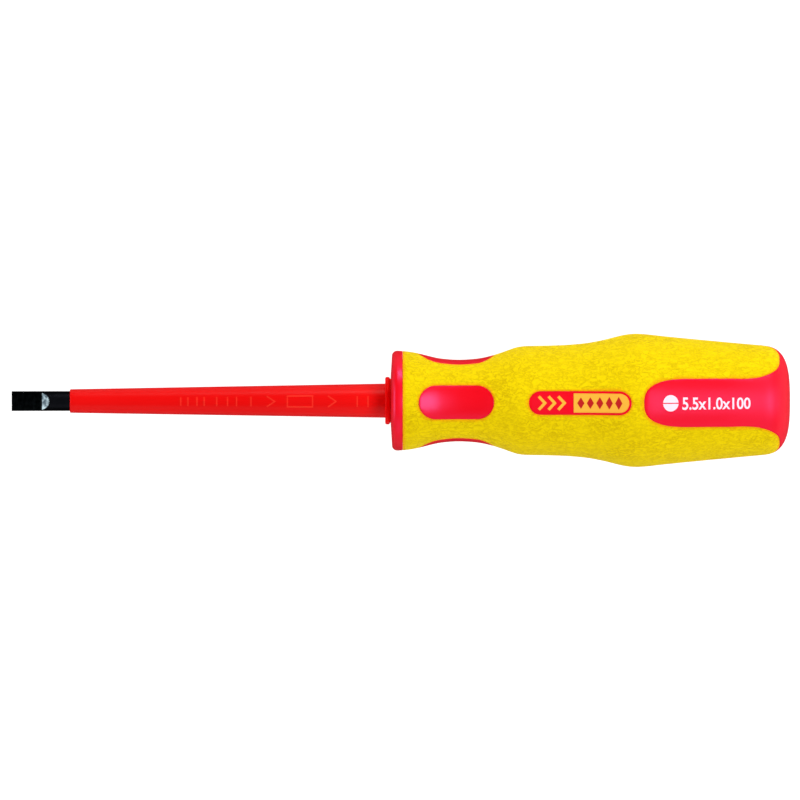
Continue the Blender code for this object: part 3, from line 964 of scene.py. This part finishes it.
class Finish:
    """A material with its Principled shader, and short calls for the nodes that feed it."""

    def __init__(self, name, colour, roughness, metallic=0.0, specular=0.5, tint=(1, 1, 1)):
        self.material = bpy.data.materials.new(name)
        self.material.use_nodes = True
        self.nodes = self.material.node_tree.nodes
        self.links = self.material.node_tree.links
        self.shader = self.nodes["Principled BSDF"]
        self.colour = colour
        self.set("Base Color", (*colour, 1))
        self.set("Roughness", roughness)
        self.set("Metallic", metallic)
        self.set("Specular IOR Level", specular)
        self.set("Specular Tint", (*tint, 1))
        self.place = self.nodes.new("ShaderNodeTexCoord").outputs["Object"]

    def set(self, socket, value):
        self.shader.inputs[socket].default_value = value

    def scaled(self, factors):
        """The object's coordinates, stretched by a factor along each axis."""
        mapping = self.nodes.new("ShaderNodeMapping")
        mapping.inputs["Scale"].default_value = factors
        self.links.new(self.place, mapping.inputs["Vector"])
        return mapping.outputs["Vector"]

    def coordinate(self, axis):
        """The place along one of the frame's axes, in metres."""
        parts = self.nodes.new("ShaderNodeSeparateXYZ")
        self.links.new(self.place, parts.inputs["Vector"])
        return parts.outputs[axis]

    def stored(self, name):
        """A value that the mesh stores at its points."""
        made = self.nodes.new("ShaderNodeAttribute")
        made.attribute_name = name
        return made.outputs["Fac"]

    def noise(self, size, detail=3.0, roughness=0.5, vector=None, distortion=0.0):
        """Soft noise from 0 to 1, with features about as large as the size."""
        made = self.nodes.new("ShaderNodeTexNoise")
        made.inputs["Scale"].default_value = 1 / size
        made.inputs["Detail"].default_value = detail
        made.inputs["Roughness"].default_value = roughness
        made.inputs["Distortion"].default_value = distortion
        self.links.new(vector or self.place, made.inputs["Vector"])
        return made.outputs["Fac"]

    def ranged(self, value, low, high, start=0.0, end=1.0):
        """The value's stretch from start to end, spread over low to high."""
        made = self.nodes.new("ShaderNodeMapRange")
        for socket, number in zip(("From Min", "From Max", "To Min", "To Max"), (start, end, low, high)):
            made.inputs[socket].default_value = number
        self.links.new(value, made.inputs["Value"])
        return made.outputs["Result"]

    def combined(self, operation, first, second):
        made = self.nodes.new("ShaderNodeMath")
        made.operation = operation
        for socket, value in zip(made.inputs, (first, second)):
            if isinstance(value, float):
                socket.default_value = value
            else:
                self.links.new(value, socket)
        return made.outputs[0]

    def tone(self, factor, other, start=None):
        """Lets the base colour, or a start colour, drift towards another one by the factor."""
        mix = self.nodes.new("ShaderNodeMix")
        mix.data_type = "RGBA"
        mix.inputs["A"].default_value = (*self.colour, 1)
        mix.inputs["B"].default_value = (*other, 1)
        if start:
            self.links.new(start, mix.inputs["A"])
        self.links.new(factor, mix.inputs["Factor"])
        self.links.new(mix.outputs["Result"], self.shader.inputs["Base Color"])
        return mix.outputs["Result"]

    def rough(self, value):
        self.links.new(value, self.shader.inputs["Roughness"])

    def bump(self, height, depth, strength=1.0):
        """Relief whose height runs from 0 to 1 over the depth."""
        made = self.nodes.new("ShaderNodeBump")
        made.inputs["Strength"].default_value = strength
        made.inputs["Distance"].default_value = depth
        self.links.new(height, made.inputs["Height"])
        self.links.new(made.outputs["Normal"], self.shader.inputs["Normal"])


def soft_yellow():
    """Matt elastomer with a leathery grain: short shallow wrinkles, a little longer along the tool.
    Painted shade darkens the creases, and the grain varies the tone.
    """
    made = Finish("soft_yellow", (0.93, 0.70, 0.002), 0.6, specular=0.02)
    along = made.scaled((0.6, 1, 1))
    wrinkle = made.noise(1.2 * MM, detail=3, roughness=0.5, vector=along, distortion=0.6)
    away = made.combined("ABSOLUTE", made.combined("SUBTRACT", wrinkle, 0.5), 0.0)
    crease = made.ranged(away, 1.0, 0.0, 0.0, 0.09)
    grain = made.noise(0.6 * MM, detail=3, roughness=0.6)
    patches = made.noise(7 * MM, detail=3)
    relief = made.combined("SUBTRACT", made.combined("MULTIPLY", grain, 0.6), crease)
    made.bump(relief, 0.065 * MM)
    # Painted shade: the wrinkles' creases are darkened, more in some patches. The grain's own tone is
    # added to it.
    crease_shade = made.combined("MULTIPLY", crease, made.ranged(patches, 0.3, 0.7, 0.35, 0.65))
    crease_shade_and_grain_tone = made.combined("ADD", crease_shade, made.ranged(grain, 0.0, 0.35, 0.42, 0.72))
    grain_tone_and_crease_shade = made.tone(crease_shade_and_grain_tone, (0.66, 0.44, 0.001))
    # Painted shade: beside the seams the yellow darkens to orange.
    made.tone(made.ranged(made.stored("rim"), 0.0, 0.5), (0.92, 0.28, 0.004), start=grain_tone_and_crease_shade)
    made.rough(made.ranged(grain, 0.52, 0.7))
    return made.material


def moulded(name, colour, dark, roughness, specular, tint, ripple):
    """Hard glossy plastic: faint sink ripples, a fine eggshell, drifting pigment and a palm-worn end."""
    made = Finish(name, colour, roughness, specular=specular, tint=tint)
    drift = made.noise(14 * MM, detail=2, vector=made.scaled((0.35, 1, 1)))
    egg = made.noise(0.5 * MM, detail=3)
    waves = made.noise(6 * MM, detail=1, vector=made.scaled((0.4, 1, 1)))
    made.tone(made.ranged(drift, 0.0, 1.0, 0.35, 0.75), dark)
    worn = made.ranged(made.coordinate("X"), 0.0, WORN_ROUGHNESS, *WORN_SPAN)
    made.rough(made.combined("ADD", made.ranged(egg, roughness - 0.05, roughness + 0.07), worn))
    made.bump(made.combined("ADD", waves, made.combined("MULTIPLY", egg, 0.12)), ripple)
    return made.material


def black_oxide():
    """The blackened shank, with fine drawing lines along it."""
    made = Finish("black_oxide", (0.011, 0.0115, 0.015), 0.45, metallic=1.0)
    drawn = made.noise(0.4 * MM, detail=4, vector=made.scaled((0.06, 1, 1)))
    spots = made.noise(3 * MM, detail=4)
    made.tone(made.ranged(spots, 0.0, 1.0, 0.4, 0.8), (0.0065, 0.0065, 0.009))
    made.rough(made.ranged(drawn, 0.38, 0.54))
    made.bump(drawn, 0.004 * MM)
    return made.material


def ground_steel():
    """The ground tip: bluish steel with the wheel's marks across it, stains, and painted shade that
    darkens it towards +Y.
    """
    made = Finish("ground_steel", (0.14, 0.18, 0.195), 0.2, metallic=1.0)
    marks = made.noise(0.22 * MM, detail=4, roughness=0.6, vector=made.scaled((1, 0.12, 1)))
    stains = made.noise(1.1 * MM, detail=4, roughness=0.6)
    # Painted shade: the steel is lighter towards -Y and darker towards +Y. It is added to the stains
    # below.
    across = made.ranged(made.coordinate("Y"), -0.35, 0.4, -SHANK_R, SHANK_R)
    worn = made.combined("ADD", made.ranged(stains, 0.0, 1.0, 0.34, 0.62), across)
    made.tone(worn, (0.024, 0.034, 0.042))
    made.rough(made.ranged(marks, 0.12, 0.26))
    made.bump(marks, 0.012 * MM)
    return made.material


def ink(name, colour):
    """Printed ink: flat colour with thin and thick patches."""
    made = Finish(name, colour, 0.5, specular=0.2)
    patches = made.noise(1.2 * MM, detail=4)
    made.tone(made.ranged(patches, 0.0, 0.5, 0.4, 0.9), tuple(0.86 * value for value in colour))
    made.rough(made.ranged(patches, 0.42, 0.6))
    made.bump(patches, 0.004 * MM)
    return made.material


# ---- Stage ------------------------------------------------------------------------------------------


def aim(piece, spot, target, up=Vector((0, 1, 0))):
    """Places a camera or light so that it looks from a spot at a target."""
    back = (Vector(spot) - Vector(target)).normalized()
    right = up.cross(back).normalized()
    over = back.cross(right)
    piece.matrix_world = matrix_of(right, over, back, spot)


def matrix_of(right, over, back, spot):
    return Matrix.Translation(spot) @ Matrix((right, over, back)).transposed().to_4x4()


def softbox(name, azimuth, off_vertical, distance, length, width, power, along):
    """A rectangular area light. Azimuth 0 is +X, 90 is +Y. Its length lies level.

    It looks at a point of the tool that lies the along distance from the stage's centre.
    """
    light = bpy.data.lights.new(name, "AREA")
    light.shape = "RECTANGLE"
    light.size = length
    light.size_y = width
    light.energy = power
    made = bpy.data.objects.new(name, light)
    bpy.context.scene.collection.objects.link(made)
    turn, tilt = math.radians(azimuth), math.radians(off_vertical)
    way = Vector((math.sin(tilt) * math.cos(turn), math.sin(tilt) * math.sin(turn), math.cos(tilt)))
    target = STAGE_CENTRE + Vector((along, 0, 0))
    aim(made, target + distance * way, target, up=Vector((0, 0, 1)))
    made.visible_camera = False


def make_camera():
    """A long lens far above the front, so that the outline stays almost parallel."""
    camera = bpy.data.cameras.new("camera")
    camera.lens = camera.sensor_width * CAMERA_DISTANCE / VIEW_WIDTH
    camera.clip_end = CAMERA_REACH
    made = bpy.data.objects.new("camera", camera)
    bpy.context.scene.collection.objects.link(made)
    bpy.context.scene.camera = made
    back = Vector((0, math.sin(VIEW_TILT), math.cos(VIEW_TILT)))
    over = Vector((0, math.cos(VIEW_TILT), -math.sin(VIEW_TILT)))
    right = Vector((1, 0, 0))
    rolled_right = right * math.cos(VIEW_ROLL) - over * math.sin(VIEW_ROLL)
    rolled_over = right * math.sin(VIEW_ROLL) + over * math.cos(VIEW_ROLL)
    spot = VIEW_CENTRE + CAMERA_DISTANCE * back
    made.matrix_world = matrix_of(rolled_right, rolled_over, back, spot)


def stage_piece(name, bm, finish, location):
    """A piece round the tool, which glossy surfaces don't mirror."""
    mesh = bpy.data.meshes.new(name)
    bm.to_mesh(mesh)
    bm.free()
    mesh.materials.append(finish.material)
    made = bpy.data.objects.new(name, mesh)
    made.location = location
    bpy.context.scene.collection.objects.link(made)
    made.visible_glossy = False
    return made


def make_floor():
    """A pale floor that the handle touches. It glows a little, like a lit white table."""
    made = Finish("floor_white", (0.3, 0.3, 0.3), 0.9, specular=0.0)
    made.set("Emission Color", (1, 1, 1, 1))
    made.set("Emission Strength", FLOOR_GLOW)
    bm = bmesh.new()
    bmesh.ops.create_grid(bm, x_segments=8, y_segments=8, size=FLOOR_HALF)
    floor = stage_piece("floor", bm, made, (STAGE_CENTRE.x, 0, CAD_BOX[0].z - FLOOR_GAP))


def make_backdrop():
    """A white dome far behind everything. Only a camera whose clip distance reaches it sees it."""
    made = Finish("backdrop_white", (0, 0, 0), 1.0, specular=0.0)
    made.set("Emission Color", (1, 1, 1, 1))
    made.set("Emission Strength", 1.0)
    bm = bmesh.new()
    bmesh.ops.create_uvsphere(bm, u_segments=32, v_segments=16, radius=BACKDROP_RADIUS)
    backdrop = stage_piece("backdrop", bm, made, STAGE_CENTRE)
    backdrop.visible_diffuse = False
    backdrop.visible_shadow = False


def make_world():
    """A dim white surround, which fades from the horizon to overhead."""
    world = bpy.data.worlds.new("surround")
    bpy.context.scene.world = world
    world.use_nodes = True
    nodes, links = world.node_tree.nodes, world.node_tree.links
    place = nodes.new("ShaderNodeTexCoord")
    parts = nodes.new("ShaderNodeSeparateXYZ")
    links.new(place.outputs["Generated"], parts.inputs["Vector"])
    ramp = nodes.new("ShaderNodeMapRange")
    ramp.interpolation_type = "SMOOTHSTEP"
    numbers = (*HORIZON_SPAN, HORIZON, OVERHEAD)
    for socket, number in zip(("From Min", "From Max", "To Min", "To Max"), numbers):
        ramp.inputs[socket].default_value = number
    links.new(parts.outputs["Z"], ramp.inputs["Value"])
    links.new(ramp.outputs["Result"], nodes["Background"].inputs["Strength"])
    nodes["Background"].inputs["Color"].default_value = (1, 1, 1, 1)


def make_lights():
    for light in SOFTBOXES:
        softbox(*light)


bpy.context.scene.view_settings.view_transform = "Standard"
make_camera()
make_floor()
make_backdrop()
make_world()
make_lights()

WHITE = (1, 1, 1)
MAGENTA = (0.5, 0.33, 1.0)
ROSE = (1, 0.85, 0.85)
HANDLE_RED = moulded(
    "handle_red", (0.96, 0.003, 0.010), (0.88, 0.002, 0.006), 0.335, 0.60, MAGENTA, 0.014 * MM
)
SLEEVE_RED = moulded(
    "sleeve_red", (0.88, 0.004, 0.004), (0.83, 0.002, 0.002), 0.34, 0.16, ROSE, 0.012 * MM
)
MARK_RED = moulded(
    "mark_red", (0.98, 0.035, 0.018), (0.94, 0.03, 0.015), 0.45, 0.15, WHITE, 0.004 * MM
)
CORE_RED = moulded("core_red", (1.0, 0.001, 0.001), (0.96, 0.001, 0.001), 0.35, 0.06, WHITE, 0.01 * MM)
ORANGE = moulded("badge_orange", (1.0, 0.50, 0.05), (0.98, 0.44, 0.04), 0.45, 0.2, WHITE, 0.01 * MM)

make_grip(soft_yellow())
make_shell_and_inlay(HANDLE_RED, ORANGE)
make_core(CORE_RED)
make_sleeve(SLEEVE_RED)
make_blade(black_oxide(), ground_steel())
make_size_mark(ink("white_ink", (0.98, 0.80, 0.95)))
make_badge_motif(ORANGE, ink("dark_red_ink", (0.55, 0.01, 0.01)))
make_sleeve_marks(MARK_RED)
